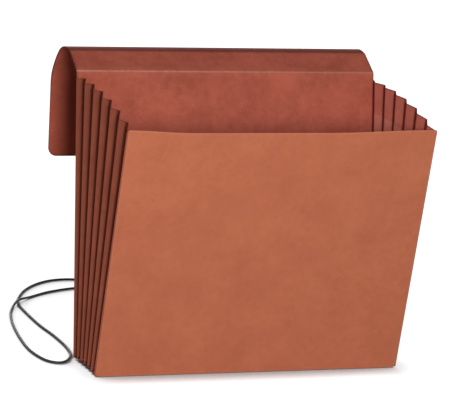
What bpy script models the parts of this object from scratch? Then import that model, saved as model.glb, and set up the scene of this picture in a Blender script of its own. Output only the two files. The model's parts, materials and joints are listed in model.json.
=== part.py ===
"""Expanding wallet of pressed fibre stock, standing open.

Two panels are joined at the sides by accordion gussets and at the foot by an accordion base. The
back one is flat, and the front one bows out towards its free upper edge.
A flap is rolled back over the top of the back panel, and an elastic cord is knotted through it.

Frame: metres, +Z up, X across the wallet, +Y to its back. The origin is the middle of the back
panel's foot, on the surface that the wallet stands on.

Every crease of a side gusset points at one apex below the floor, so each leaf between two creases
stays flat while the wallet opens and closes, and all creases turn in step.
"""

import math

import bmesh
import bpy
from mathutils import Matrix, Vector

# Sheet sizes
PANEL_WIDTH = 0.2985
FRONT_HEIGHT = 0.2413
BACK_HEIGHT = 0.2663
PANEL_THICK = 0.0008
LEAF_THICK = 0.0004
FOOT_CORNER = 0.004
APRON_CORNER = 0.008

# How the wallet stands
FOOT_SPAN = 0.061
BACK_LEAN = math.radians(8.9)
FRONT_LEAN = math.radians(11.2)

# Bow of the front panel, which its tabs follow
FRONT_BOW = 0.0066  # how far the upper edge stands out
BOW_START = 0.020  # height below which the front stays flat
BOW_FLANK_LEFT = 0.40  # share of the half width over which the bow rises
BOW_FLANK_RIGHT = 0.75
BOW_POWER = 1.5  # of the rise from the flat foot to the upper edge

# Gussets and base
PLEATS = 6
LEAF_ANGLE = math.radians(21.0)  # between a leaf and the straight line from ridge to ridge
GUSSET_PROUD = 0.0006  # how far the ridges stand out past the panels' edges
GUSSET_LIFT = 0.0008  # lowest point of the pleats above the floor
GUSSET_DROP_BACK = 0.007  # top of the pleats below the score of the back panel
GUSSET_DROP_FRONT = 0.0015  # top of the pleats below the front panel's upper edge
TAB_WIDTH = 0.014
BASE_TAB_HEIGHT = 0.012
CREASE_GAP = 0.0003
SEAM_GAP = 0.0003
MITRE_GAP = 0.0008  # between a side leaf and a base leaf along their mitred corner

# Flap, as strips from the score to the free edge, each turned back from the one before it
RISER_ANGLE = math.radians(58.0)  # of the first strip from upright
ROLL_ANGLE = math.radians(21.0)
RISER_LENGTH = 0.027
ROLL_LENGTH = 0.012
SLOPE_LENGTH = 0.022
APRON_LENGTH = 0.070
SCORE_GAP = 0.0012
ROLL_GAP = 0.0004

# Elastic cord
CORD_DIAMETER = 0.0024
CORD_HOLE_HEIGHT = 0.080
STRAND_GAP = 0.0004  # between the two strands where they pass through the hole
HOLE_CLEARANCE = 0.0007  # from the strands to the rim of the hole
FLOOR_GAP = 0.0001
CROSSING_GAP = 0.0005  # between the strands where one lies over the other
KNOT_WIDTH = 0.0115
KNOT_HEIGHT = 0.0090
KNOT_DEPTH = 0.0055

# Fineness of round shapes
BOW_ROWS = 5
FLANK_STEPS = 3
CORNER_STEPS = 6
HOLE_SIDES = 20
KNOT_SIDES = 16
KNOT_RINGS = 10
CORD_POINTS = 80
CORD_BEVEL = 2
ROUTE_STEPS = 40  # of the smooth curve between two points of the cord's route
WELD_DISTANCE = 0.00001

# Surfaces, with colours as linear values
FIBRE_ROUGHNESS = 0.75
PAPER_ROUGHNESS = 0.8
CORD_ROUGHNESS = 0.7
FIBRE_FRONT = (0.47, 0.138, 0.069, 1.0)
FIBRE_BACK = (0.36, 0.090, 0.055, 1.0)
FIBRE_FLAP = (0.29, 0.066, 0.036, 1.0)
GUSSET_PAPER = (0.23, 0.060, 0.042, 1.0)
CORD_BLACK = (0.040, 0.040, 0.042, 1.0)

PARTS = "expanding_wallet"
CUTTERS = "cutters"
AXIS_X = Vector((1.0, 0.0, 0.0))
AXIS_Z = Vector((0.0, 0.0, 1.0))


# Scene and materials

def clear_scene():
    for obj in list(bpy.data.objects):
        bpy.data.objects.remove(obj, do_unlink=True)


def new_collection(name):
    collection = bpy.data.collections.new(name)
    bpy.context.scene.collection.children.link(collection)
    return collection


def make_material(name, colour, roughness):
    material = bpy.data.materials.new(name)
    material.use_nodes = True
    shader = material.node_tree.nodes["Principled BSDF"]
    shader.inputs["Base Color"].default_value = colour
    shader.inputs["Roughness"].default_value = roughness
    shader.inputs["Metallic"].default_value = 0.0
    return material


def add_object(name, mesh, material, matrix):
    obj = bpy.data.objects.new(name, mesh)
    obj.matrix_world = matrix
    mesh.materials.clear()
    mesh.materials.append(material)
    parts.objects.link(obj)
    return obj


def carry(child, parent):
    """Parents a piece to the one that carries it, and leaves it where it is."""
    bpy.context.view_layer.update()
    child.parent = parent
    child.matrix_parent_inverse = parent.matrix_world.inverted()


# Geometry of the fan that the gussets open into

def panel_frame(foot_y, lean):
    """Local X across, Y forwards to backwards, Z up a panel that leans back by this angle."""
    return Matrix.Translation((0.0, foot_y, 0.0)) @ Matrix.Rotation(-lean, 4, "X")


def fan_direction(angle):
    """Unit vector in the plane X = 0 that leans back from upright by this angle."""
    return Vector((0.0, math.sin(angle), math.cos(angle)))


BACK_FRAME = panel_frame(0.0, BACK_LEAN)
FRONT_FRAME = panel_frame(-FOOT_SPAN, -FRONT_LEAN)
TAB_FACE = PANEL_THICK / 2 + SEAM_GAP + LEAF_THICK  # from a panel's middle to the fan's end plane


def fan_apex():
    """The line, seen as a point in Y and Z, where both end planes of the fan meet."""
    back_point = BACK_FRAME @ Vector((0.0, -TAB_FACE, 0.0))
    front_point = FRONT_FRAME @ Vector((0.0, TAB_FACE, 0.0))
    rise = (front_point.y - back_point.y - front_point.z * math.tan(-FRONT_LEAN)
            + back_point.z * math.tan(BACK_LEAN))
    height = rise / (math.tan(BACK_LEAN) - math.tan(-FRONT_LEAN))
    depth = back_point.y + (height - back_point.z) * math.tan(BACK_LEAN)
    return Vector((0.0, depth, height))


APEX = fan_apex()
CREASES = 2 * PLEATS
HALF_PITCH = (BACK_LEAN + FRONT_LEAN) / CREASES
FOOT_RADIUS = (GUSSET_LIFT - APEX.z) / math.cos(max(BACK_LEAN, FRONT_LEAN))
VALLEY_INSET = math.atan(math.tan(LEAF_ANGLE) * math.sin(HALF_PITCH))
FOOT_LEAF = FOOT_RADIUS * math.sin(HALF_PITCH) / math.cos(LEAF_ANGLE)
BACK_TOP = -APEX.z / math.cos(BACK_LEAN) + BACK_HEIGHT - GUSSET_DROP_BACK
FRONT_TOP = -APEX.z / math.cos(FRONT_LEAN) + FRONT_HEIGHT - GUSSET_DROP_FRONT
RIDGE_X = PANEL_WIDTH / 2 + GUSSET_PROUD
STRAND_SPACING = CORD_DIAMETER + STRAND_GAP
CORD_HOLE_DIAMETER = STRAND_SPACING + CORD_DIAMETER + 2 * HOLE_CLEARANCE


def crease_angle(index):
    return BACK_LEAN - index * HALF_PITCH


def is_valley(index):
    return index % 2 == 1


def side_crease(side, index):
    """The foot and the top of one crease of a side gusset. Ridges have even numbers."""
    along = fan_direction(crease_angle(index))
    start = FOOT_RADIUS
    if is_valley(index):
        along = along * math.cos(VALLEY_INSET) - AXIS_X * side * math.sin(VALLEY_INSET)
        start = FOOT_RADIUS + FOOT_LEAF
    end = BACK_TOP + (FRONT_TOP - BACK_TOP) * index / CREASES
    apex = APEX + AXIS_X * side * RIDGE_X
    return apex + along * start, apex + along * end


def base_crease(index):
    """The left and the right end of one crease of the base. Ridges have even numbers."""
    radius = FOOT_RADIUS
    half_length = RIDGE_X - MITRE_GAP
    if is_valley(index):
        radius = FOOT_RADIUS * math.cos(HALF_PITCH) + FOOT_LEAF * math.sin(LEAF_ANGLE)
        half_length = RIDGE_X - MITRE_GAP - FOOT_LEAF
    middle = APEX + fan_direction(crease_angle(index)) * radius
    return middle - AXIS_X * half_length, middle + AXIS_X * half_length


# Builders

def leaf_section(ridge, valley, along, inward):
    """Four corners of a leaf at one of its ends: inner and outer at the ridge, then at the valley.

    The ridge crease runs on the leaf's inner face and the valley crease on its outer face, so
    neighbouring leaves fold flat onto each other without cutting into each other.
    """
    across = valley - ridge
    across = across - along * across.dot(along)
    tilt = math.asin(LEAF_THICK / across.length)
    across.normalize()
    normal = across.cross(along).normalized()
    if normal.dot(inward) < 0:
        normal = -normal
    direction = across * math.cos(tilt) + normal * math.sin(tilt)
    thickness = (normal * math.cos(tilt) - across * math.sin(tilt)) * LEAF_THICK
    near = ridge + direction * (CREASE_GAP / 2)
    far = valley - direction * (CREASE_GAP / 2)
    return near, near - thickness, far + thickness, far


def add_leaf(name, ridge, valley, inward, origin, material):
    """A flat strip between a ridge and a valley crease, each given by its two ends."""
    along = (ridge[1] - ridge[0] + valley[1] - valley[0]).normalized()
    sections = [leaf_section(ridge[end], valley[end], along, inward) for end in (0, 1)]
    bm = bmesh.new()
    bmesh.ops.create_cube(bm, size=2.0)
    for vert in bm.verts:
        end = 1 if vert.co.z > 0 else 0
        corner = (2 if vert.co.x > 0 else 0) + (1 if vert.co.y > 0 else 0)
        vert.co = sections[end][corner] - origin
    return add_object(name, finished_mesh(bm, name), material, Matrix.Translation(origin))


def finished_mesh(bm, name):
    bmesh.ops.recalc_face_normals(bm, faces=bm.faces)
    if bm.calc_volume(signed=True) < 0:
        bmesh.ops.reverse_faces(bm, faces=bm.faces)
    mesh = bpy.data.meshes.new(name)
    bm.to_mesh(mesh)
    bm.free()
    return mesh


def add_plate(name, size, centre, frame, material):
    """A plain rectangular sheet, given in the frame of the panel that it belongs to."""
    bm = bmesh.new()
    bmesh.ops.create_cube(bm, size=1.0)
    bmesh.ops.scale(bm, vec=size, verts=bm.verts)
    bmesh.ops.translate(bm, vec=centre, verts=bm.verts)
    return add_object(name, finished_mesh(bm, name), material, frame)


def lower_edge(width, low, corner):
    """The lower edge of a sheet with two rounded corners, from left to right, as points across and up."""
    points = []
    for side in (-1, 1):
        start = math.pi if side < 0 else 1.5 * math.pi
        for step in range(CORNER_STEPS + 1):
            angle = start + 0.5 * math.pi * step / CORNER_STEPS
            points.append((side * (width / 2 - corner) + corner * math.cos(angle),
                           low + corner + corner * math.sin(angle)))
    return points


def rounded_sheet(width, low, high, corner):
    """Outline of a sheet with two rounded lower corners, as points across and up."""
    return [(width / 2, high), (-width / 2, high)] + lower_edge(width, low, corner)


def cut_sheet(name, outline, thickness):
    """A flat outline given a thickness, standing in the plane Y = 0, as an open bmesh."""
    curve = bpy.data.curves.new(name, "CURVE")
    curve.dimensions = "2D"
    curve.fill_mode = "BOTH"
    curve.extrude = thickness / 2
    spline = curve.splines.new("POLY")
    spline.points.add(len(outline) - 1)
    for point, (across, up) in zip(spline.points, outline):
        point.co = (across, up, 0.0, 1.0)
    spline.use_cyclic_u = True
    guide = bpy.data.objects.new(name + "_outline", curve)
    cutters.objects.link(guide)
    bpy.context.view_layer.update()
    graph = bpy.context.evaluated_depsgraph_get()
    mesh = bpy.data.meshes.new_from_object(guide.evaluated_get(graph))
    bpy.data.objects.remove(guide, do_unlink=True)
    bm = bmesh.new()
    bm.from_mesh(mesh)
    bmesh.ops.remove_doubles(bm, verts=bm.verts, dist=WELD_DISTANCE)
    bmesh.ops.rotate(bm, matrix=Matrix.Rotation(math.pi / 2, 3, "X"), verts=bm.verts)
    bpy.data.meshes.remove(mesh)
    return bm


def level_foot(bm, frame):
    """Trims a leaning sheet level with the floor, so that it stands on a flat edge."""
    to_local = frame.inverted()
    floor = to_local @ Vector((0.0, 0.0, 0.0))
    upright = to_local.to_3x3() @ AXIS_Z
    geometry = bm.verts[:] + bm.edges[:] + bm.faces[:]
    cut = bmesh.ops.bisect_plane(bm, geom=geometry, plane_co=floor, plane_no=upright, clear_inner=True)
    edges = [item for item in cut["geom_cut"] if isinstance(item, bmesh.types.BMEdge)]
    bmesh.ops.contextual_create(bm, geom=edges)


def add_flat_panel(name, height, frame, material):
    """The back sheet, cut a thickness too long and then trimmed level at its foot."""
    bm = cut_sheet(name, rounded_sheet(PANEL_WIDTH, -PANEL_THICK, height, FOOT_CORNER), PANEL_THICK)
    level_foot(bm, frame)
    return add_object(name, finished_mesh(bm, name), material, frame)


def eased(share):
    """0 to 1 along a smooth step that starts and ends level."""
    share = min(1.0, max(0.0, share))
    return share * share * (3.0 - 2.0 * share)


def front_bow(across, up):
    """How far the front stands out of its flat plane at one point of it."""
    flank = BOW_FLANK_LEFT if across < 0.0 else BOW_FLANK_RIGHT
    side = eased((1.0 - abs(across) / (PANEL_WIDTH / 2)) / flank)
    rise = max(0.0, up - BOW_START) / (FRONT_HEIGHT - BOW_START)
    return FRONT_BOW * side * rise ** BOW_POWER


def bow_heights():
    """Heights on the front, from the end of its flat foot to its upper edge."""
    return [BOW_START + (FRONT_HEIGHT - BOW_START) * row / BOW_ROWS for row in range(BOW_ROWS + 1)]


def bow_columns():
    """Places across the front: its edges, the inner edges of its tabs and steps up both flanks."""
    half = PANEL_WIDTH / 2
    columns = []
    for side, flank in ((-1, BOW_FLANK_LEFT), (1, BOW_FLANK_RIGHT)):
        columns += [side * half, side * (RIDGE_X - TAB_WIDTH)]
        columns += [side * half * (1.0 - flank * (step + 1) / FLANK_STEPS) for step in range(FLANK_STEPS)]
    return sorted(columns)


def bowed_skin(bm, columns, heights, plane):
    """A grid of triangles on the front's bow, with its flat part in this plane, as rows of points."""
    rows = [[bm.verts.new((across, plane - front_bow(across, up), up)) for across in columns]
            for up in heights]
    for low, high in zip(rows, rows[1:]):
        for index in range(len(columns) - 1):
            bm.faces.new((low[index], low[index + 1], high[index + 1]))
            bm.faces.new((low[index], high[index + 1], high[index]))
    return rows


def thicken(bm, thickness):
    """Makes an open skin into a sheet by drawing it out backwards."""
    made = bmesh.ops.extrude_face_region(bm, geom=bm.faces[:])
    moved = [item for item in made["geom"] if isinstance(item, bmesh.types.BMVert)]
    bmesh.ops.translate(bm, vec=(0.0, thickness, 0.0), verts=moved)


def add_bowed_panel(name, frame, material):
    """The front sheet: a flat foot with rounded corners, and the bow above it."""
    bm = bmesh.new()
    plane = -PANEL_THICK / 2
    rows = bowed_skin(bm, bow_columns(), bow_heights(), plane)
    foot = [bm.verts.new((across, plane, up))
            for across, up in lower_edge(PANEL_WIDTH, -PANEL_THICK, FOOT_CORNER)]
    bm.faces.new(foot + rows[0][::-1])
    thicken(bm, PANEL_THICK)
    level_foot(bm, frame)
    return add_object(name, finished_mesh(bm, name), material, frame)


def add_bowed_tab(name, edges, middle, foot, top, frame, material):
    """A glued edge on the front, between two places across it, that follows the bow."""
    bm = bmesh.new()
    columns = sorted((*edges, math.copysign(PANEL_WIDTH / 2, edges[0])))
    heights = [foot] + [up for up in bow_heights() if foot < up < top] + [top]
    bowed_skin(bm, columns, heights, middle - LEAF_THICK / 2)
    thicken(bm, LEAF_THICK)
    return add_object(name, finished_mesh(bm, name), material, frame)


def cut_round_hole(target, centre, axis, diameter):
    """Cuts a round hole through a sheet with a cylinder as long as the hole is wide, or longer."""
    bm = bmesh.new()
    bmesh.ops.create_cone(bm, cap_ends=True, segments=HOLE_SIDES, radius1=diameter / 2,
                          radius2=diameter / 2, depth=diameter + 2 * PANEL_THICK)
    mesh = bpy.data.meshes.new(target.name + "_hole")
    bm.to_mesh(mesh)
    bm.free()
    cutter = bpy.data.objects.new(target.name + "_hole", mesh)
    cutter.matrix_world = Matrix.Translation(centre) @ axis.to_track_quat("Z", "Y").to_matrix().to_4x4()
    cutter.hide_render = True
    cutter.display_type = "WIRE"
    cutters.objects.link(cutter)
    cut = target.modifiers.new("cord_hole", "BOOLEAN")
    cut.operation = "DIFFERENCE"
    cut.solver = "EXACT"
    cut.object = cutter


# Pieces

def add_panels():
    front = add_bowed_panel("front_panel", FRONT_FRAME, fibre_front)
    back = add_flat_panel("back_panel", BACK_HEIGHT - SCORE_GAP / 2, BACK_FRAME, fibre_back)
    hole = BACK_FRAME @ Vector((0.0, 0.0, CORD_HOLE_HEIGHT))
    cut_round_hole(back, hole, BACK_FRAME.to_3x3() @ Vector((0.0, 1.0, 0.0)), CORD_HOLE_DIAMETER)
    return front, back


def add_tabs(panel, label, frame, face, lean, top):
    """The glued edges of the gussets and of the base, on the inner face of one panel."""
    foot = FOOT_RADIUS + APEX.z / math.cos(lean)
    height = top - FOOT_RADIUS
    middle_y = face * (PANEL_THICK / 2 + SEAM_GAP + LEAF_THICK / 2)
    across = TAB_WIDTH - CREASE_GAP / 2
    for side, word in ((-1, "left"), (1, "right")):
        name = f"{word}_{label}_tab"
        outer = RIDGE_X - CREASE_GAP / 2
        if panel is front_panel:
            edges = (side * outer, side * (outer - across))
            tab = add_bowed_tab(name, edges, middle_y, foot, foot + height, frame, gusset_paper)
        else:
            middle = Vector((side * (outer - across / 2), middle_y, foot + height / 2))
            tab = add_plate(name, (across, LEAF_THICK, height), middle, frame, gusset_paper)
        carry(tab, panel)
    length = 2 * (RIDGE_X - TAB_WIDTH - MITRE_GAP)
    middle = Vector((0.0, middle_y, foot + CREASE_GAP / 2 + BASE_TAB_HEIGHT / 2))
    tab = add_plate(f"base_{label}_tab", (length, LEAF_THICK, BASE_TAB_HEIGHT), middle, frame, gusset_paper)
    carry(tab, panel)


def leaf_name(word, index):
    half = "front" if is_valley(index) else "rear"
    return f"{word}_pleat_{index // 2 + 1}_{half}_leaf"


def add_front_crease(last_leaf):
    """An empty on the crease that the front panel turns about, at the end of the left gusset."""
    crease = bpy.data.objects.new("front_crease", None)
    crease.location = side_crease(-1, CREASES)[0]
    parts.objects.link(crease)
    carry(crease, last_leaf)
    return crease


def add_side_gusset(side, word, back):
    """Twelve leaves in a chain from the back panel's edge to the front panel's edge."""
    carrier = back
    for index in range(CREASES):
        creases = (side_crease(side, index), side_crease(side, index + 1))
        ridge, valley = creases[::-1] if is_valley(index) else creases
        hinge = creases[0][0]
        leaf = add_leaf(leaf_name(word, index), ridge, valley, -side * AXIS_X, hinge, gusset_paper)
        carry(leaf, carrier)
        carrier = leaf
    return carrier


def add_base(front, back):
    """Twelve leaves under the contents: six hang on the back panel and six on the front panel."""
    for panel, order, first in ((back, range(PLEATS), 0), (front, range(CREASES - 1, PLEATS - 1, -1), 1)):
        carrier = panel
        for index in order:
            creases = (base_crease(index), base_crease(index + 1))
            ridge, valley = creases[::-1] if is_valley(index) else creases
            hinge = (creases[first][0] + creases[first][1]) / 2
            leaf = add_leaf(leaf_name("base", index), ridge, valley, AXIS_Z, hinge, gusset_paper)
            carry(leaf, carrier)
            carrier = leaf


FLAP_STRIPS = (
    ("flap_riser", RISER_LENGTH),
    ("flap_roll_1", ROLL_LENGTH),
    ("flap_roll_2", ROLL_LENGTH),
    ("flap_roll_3", ROLL_LENGTH),
    ("flap_slope", SLOPE_LENGTH),
    ("flap_roll_4", ROLL_LENGTH),
    ("flap_apron", APRON_LENGTH),
)


def add_flap(back):
    """Strips in a chain from the score, each with its origin on the line that it turns about."""
    hinge = BACK_FRAME @ Vector((0.0, 0.0, BACK_HEIGHT))
    angle = RISER_ANGLE
    carrier = back
    low_gap = SCORE_GAP / 2
    for name, length in FLAP_STRIPS:
        frame = Matrix.Translation(hinge) @ Matrix.Rotation(-angle, 4, "X")
        if name == "flap_apron":
            bm = cut_sheet(name, rounded_sheet(PANEL_WIDTH, -length, -low_gap, APRON_CORNER), PANEL_THICK)
            bmesh.ops.rotate(bm, matrix=Matrix.Rotation(math.pi, 3, "X"), verts=bm.verts)
            strip = add_object(name, finished_mesh(bm, name), fibre_flap, frame)
        else:
            size = (PANEL_WIDTH, PANEL_THICK, length - low_gap - ROLL_GAP / 2)
            middle = Vector((0.0, 0.0, low_gap + size[2] / 2))
            strip = add_plate(name, size, middle, frame, fibre_flap)
        carry(strip, carrier)
        carrier = strip
        hinge = hinge + fan_direction(angle) * length
        angle += ROLL_ANGLE
        low_gap = ROLL_GAP / 2


def smooth_route(points, count):
    """Evenly spaced points on one smooth curve through the route's own points."""
    fine = []
    for index in range(len(points) - 1):
        before = points[max(index - 1, 0)]
        start, end = points[index], points[index + 1]
        after = points[min(index + 2, len(points) - 1)]
        for step in range(ROUTE_STEPS):
            t = step / ROUTE_STEPS
            fine.append(0.5 * (2 * start + (end - before) * t
                               + (2 * before - 5 * start + 4 * end - after) * t * t
                               + (3 * start - before - 3 * end + after) * t * t * t))
    fine.append(points[-1])
    reach = [0.0]
    for start, end in zip(fine, fine[1:]):
        reach.append(reach[-1] + (end - start).length)
    spaced = []
    place = 0
    for step in range(count):
        want = reach[-1] * step / (count - 1)
        while place < len(fine) - 2 and reach[place + 1] < want:
            place += 1
        share = (want - reach[place]) / (reach[place + 1] - reach[place])
        spaced.append(fine[place].lerp(fine[place + 1], share))
    return spaced, reach[-1]


def cord_route():
    """The elastic from the knot out of the back, along the floor to the left, and home again."""
    low = CORD_DIAMETER / 2 + FLOOR_GAP
    over = low + CORD_DIAMETER + CROSSING_GAP
    inside = -PANEL_THICK / 2 - SEAM_GAP
    half = STRAND_SPACING / 2

    def at_hole(across, behind, up=0.0):
        return BACK_FRAME @ Vector((across, behind, CORD_HOLE_HEIGHT + up))

    out = [at_hole(half, inside), at_hole(half, 0.006), at_hole(0.0022, 0.013, -0.003)]
    home = [at_hole(-0.0022, 0.012, -0.003), at_hole(-half, 0.006), at_hole(-half, inside)]
    floor = [
        (0.004, 0.036, 0.050), (0.006, 0.045, 0.022), (0.008, 0.058, 0.006), (0.011, 0.078, low),
        (0.016, 0.120, low), (0.018, 0.170, low), (0.011, 0.225, low), (-0.012, 0.272, low),
        (-0.046, 0.2935, low), (-0.071, 0.2950, low), (-0.094, 0.282, low), (-0.116, 0.2565, low),
        (-0.133, 0.2245, low), (-0.140, 0.2030, low), (-0.143, 0.1695, low), (-0.1445, 0.120, low),
        (-0.1430, 0.0815, low), (-0.1435, 0.0455, low), (-0.1470, 0.0175, low), (-0.1535, 0.000, low),
        (-0.163, -0.0125, low), (-0.172, -0.0125, low), (-0.179, 0.000, low), (-0.182, 0.0315, low),
        (-0.178, 0.0745, low), (-0.170, 0.1225, low), (-0.161, 0.1595, low), (-0.1525, 0.183, low),
        (-0.1400, 0.2040, over), (-0.120, 0.2275, low), (-0.092, 0.2475, low), (-0.057, 0.2600, low),
        (-0.028, 0.250, low), (-0.011, 0.218, low), (-0.005, 0.165, low), (-0.005, 0.115, low),
        (-0.007, 0.076, low), (-0.007, 0.056, 0.006), (-0.006, 0.043, 0.022), (-0.004, 0.034, 0.050),
    ]
    return out + [Vector(point) for point in floor] + home


def add_cord(back):
    points, length = smooth_route(cord_route(), CORD_POINTS)
    curve = bpy.data.curves.new("elastic_cord", "CURVE")
    curve.dimensions = "3D"
    curve.bevel_depth = CORD_DIAMETER / 2
    curve.bevel_resolution = CORD_BEVEL
    curve.use_fill_caps = True
    spline = curve.splines.new("POLY")
    spline.points.add(len(points) - 1)
    for point, place in zip(spline.points, points):
        point.co = (*place, 1.0)
    cord = bpy.data.objects.new("elastic_cord", curve)
    curve.materials.append(cord_black)
    parts.objects.link(cord)
    carry(cord, back)
    print(f"elastic cord length {length:.3f} m")


def add_knot(back):
    """The lump on the inner face that keeps both ends of the elastic from slipping out."""
    seat = PANEL_THICK / 2 + 2 * SEAM_GAP
    bm = bmesh.new()
    bmesh.ops.create_uvsphere(bm, u_segments=KNOT_SIDES, v_segments=KNOT_RINGS, radius=0.5)
    bmesh.ops.scale(bm, vec=(KNOT_WIDTH, KNOT_DEPTH, KNOT_HEIGHT), verts=bm.verts)
    bmesh.ops.translate(bm, vec=(0.0, -seat - KNOT_DEPTH / 2, CORD_HOLE_HEIGHT), verts=bm.verts)
    mesh = finished_mesh(bm, "cord_knot")
    mesh.shade_smooth()
    knot = add_object("cord_knot", mesh, cord_black, BACK_FRAME)
    carry(knot, back)


clear_scene()
parts = new_collection(PARTS)
cutters = new_collection(CUTTERS)
cutters.hide_render = True
fibre_front = make_material("fibre_front", FIBRE_FRONT, FIBRE_ROUGHNESS)
fibre_back = make_material("fibre_back", FIBRE_BACK, FIBRE_ROUGHNESS)
fibre_flap = make_material("fibre_flap", FIBRE_FLAP, FIBRE_ROUGHNESS)
gusset_paper = make_material("gusset_paper", GUSSET_PAPER, PAPER_ROUGHNESS)
cord_black = make_material("cord_black", CORD_BLACK, CORD_ROUGHNESS)

front_panel, back_panel = add_panels()
add_tabs(back_panel, "back", BACK_FRAME, -1, BACK_LEAN, BACK_TOP)
add_tabs(front_panel, "front", FRONT_FRAME, 1, FRONT_LEAN, FRONT_TOP)
last_leaf = add_side_gusset(-1, "left", back_panel)
add_side_gusset(1, "right", back_panel)
carry(front_panel, add_front_crease(last_leaf))
add_base(front_panel, back_panel)
add_flap(back_panel)
add_cord(back_panel)
add_knot(back_panel)
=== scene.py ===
# %% [markdown]
# An expanding wallet is two sheets of pressed fibre board, joined at the sides by folded paper gussets.
# The CAD model gives every piece its place and its hinge, but it is made of flat, sharp strips.
# This lesson dresses it: the flap gets a smooth roll, the folds get a radius and the surfaces get fibres.
# We start with an empty scene, load the frame and note its box, to print it beside the dressed model's box
# at the end.

# %% Load the frame
import json
import math

import bpy
import numpy as np
from mathutils import Matrix, Vector

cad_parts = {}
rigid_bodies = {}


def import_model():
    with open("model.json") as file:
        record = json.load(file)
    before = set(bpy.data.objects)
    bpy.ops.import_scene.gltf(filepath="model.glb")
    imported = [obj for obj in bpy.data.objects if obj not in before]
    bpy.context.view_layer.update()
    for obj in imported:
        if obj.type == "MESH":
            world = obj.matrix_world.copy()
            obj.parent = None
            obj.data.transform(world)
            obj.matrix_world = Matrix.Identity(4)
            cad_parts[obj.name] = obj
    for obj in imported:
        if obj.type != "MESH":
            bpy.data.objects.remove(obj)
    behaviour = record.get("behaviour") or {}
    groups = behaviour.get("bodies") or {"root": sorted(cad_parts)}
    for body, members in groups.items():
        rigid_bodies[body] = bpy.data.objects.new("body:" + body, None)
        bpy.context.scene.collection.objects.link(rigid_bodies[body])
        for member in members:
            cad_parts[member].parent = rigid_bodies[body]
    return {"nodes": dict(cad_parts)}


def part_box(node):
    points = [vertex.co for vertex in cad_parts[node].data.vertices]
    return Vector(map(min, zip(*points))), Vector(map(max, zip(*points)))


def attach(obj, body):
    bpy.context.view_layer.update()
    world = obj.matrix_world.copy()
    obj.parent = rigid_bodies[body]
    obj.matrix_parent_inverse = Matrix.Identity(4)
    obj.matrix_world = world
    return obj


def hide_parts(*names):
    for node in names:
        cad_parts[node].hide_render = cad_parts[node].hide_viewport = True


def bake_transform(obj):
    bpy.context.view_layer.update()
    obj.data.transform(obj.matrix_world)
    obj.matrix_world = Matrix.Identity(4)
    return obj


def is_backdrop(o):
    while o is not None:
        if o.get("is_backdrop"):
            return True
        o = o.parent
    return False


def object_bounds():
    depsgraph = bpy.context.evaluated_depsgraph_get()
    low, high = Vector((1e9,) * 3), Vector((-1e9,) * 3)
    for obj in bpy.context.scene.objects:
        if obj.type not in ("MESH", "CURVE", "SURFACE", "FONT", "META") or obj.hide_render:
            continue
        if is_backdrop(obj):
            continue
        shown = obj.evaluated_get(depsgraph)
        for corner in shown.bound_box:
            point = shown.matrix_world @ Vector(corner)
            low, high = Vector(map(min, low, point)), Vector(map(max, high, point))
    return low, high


for leftover in list(bpy.data.objects):
    bpy.data.objects.remove(leftover, do_unlink=True)
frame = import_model()
cad_low, cad_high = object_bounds()

# %% [markdown]
# The camera comes first, because everything else is judged through it. It could be placed by eye. Here its
# place and its axes were fitted to the corners of the wallet in the picture, so that edges line up.
# A long lens, far away, keeps the panels' edges nearly parallel, as they are there.

# %% Camera
PHOTO_WIDTH = 453
FOCAL_PIXELS = 3000.0
SENSOR = 36.0
CLIP_END = 50.0
CAMERA_PLACE = Vector((-1.0322, -2.5347, 0.7179))
CAMERA_UP = Vector((0.0105, 0.2178, 0.9759))
CAMERA_BACK = Vector((-0.3665, -0.9072, 0.2064))


def link(obj):
    """Puts an object into the scene, so that it is seen."""
    bpy.context.scene.collection.objects.link(obj)
    return obj


def add_camera():
    back = CAMERA_BACK.normalized()
    right = CAMERA_UP.cross(back).normalized()
    turned = Matrix((right, back.cross(right), back)).transposed().to_4x4()
    lens = bpy.data.cameras.new("photo_camera")
    lens.sensor_width = SENSOR
    lens.sensor_fit = "HORIZONTAL"
    lens.lens = FOCAL_PIXELS / PHOTO_WIDTH * SENSOR
    lens.clip_end = CLIP_END
    camera = link(bpy.data.objects.new("photo_camera", lens))
    camera.matrix_world = Matrix.Translation(CAMERA_PLACE) @ turned
    bpy.context.scene.camera = camera
    return camera


camera = add_camera()
print("camera: lens", round(camera.data.lens, 1), "mm")

# %% [markdown]
# A procedural finish is a small graph of nodes. It can be drawn in Blender's shader editor, but a script can
# be read and run again. Writing out every node and link gets long, so a few helpers do the repeating work.
# An input is given either as a plain value or as the output of another node, which is then linked to it.
# The Mix node has sockets for numbers, vectors and colours under the same names, so its colour sockets
# are found by number.

# %% Node helpers
MIX_FACTOR = 0
MIX_BELOW = 6
MIX_ABOVE = 7
MIX_RESULT = 2


def connect(tree, source, target):
    """Sets an input socket to a value, or links it to another node's output."""
    if isinstance(source, bpy.types.NodeSocket):
        tree.links.new(source, target)
    else:
        target.default_value = source


def add_node(tree, kind, settings=None, inputs=None):
    """A node with its fields set, and its inputs fed by name or number."""
    node = tree.nodes.new(kind)
    for field, setting in (settings or {}).items():
        setattr(node, field, setting)
    for socket, source in (inputs or {}).items():
        connect(tree, source, node.inputs[socket])
    return node


def calculate(tree, operation, *operands):
    """The result of a Math node."""
    node = add_node(tree, "ShaderNodeMath", {"operation": operation}, dict(enumerate(operands)))
    return node.outputs["Value"]


def remap(tree, value, old=(0.0, 1.0), new=(0.0, 1.0), curve="LINEAR"):
    """The result of a Map Range node, which turns one range into another and doesn't leave it."""
    node = add_node(tree, "ShaderNodeMapRange", {"interpolation_type": curve},
                    {"Value": value, "From Min": old[0], "From Max": old[1],
                     "To Min": new[0], "To Max": new[1]})
    return node.outputs["Result"]


def mix_colours(tree, factor, below, above):
    """The colour that a Mix node makes of two others."""
    node = add_node(tree, "ShaderNodeMix", {"data_type": "RGBA"},
                    {MIX_FACTOR: factor, MIX_BELOW: below, MIX_ABOVE: above})
    return node.outputs[MIX_RESULT]


print("node helpers ready")

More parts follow.
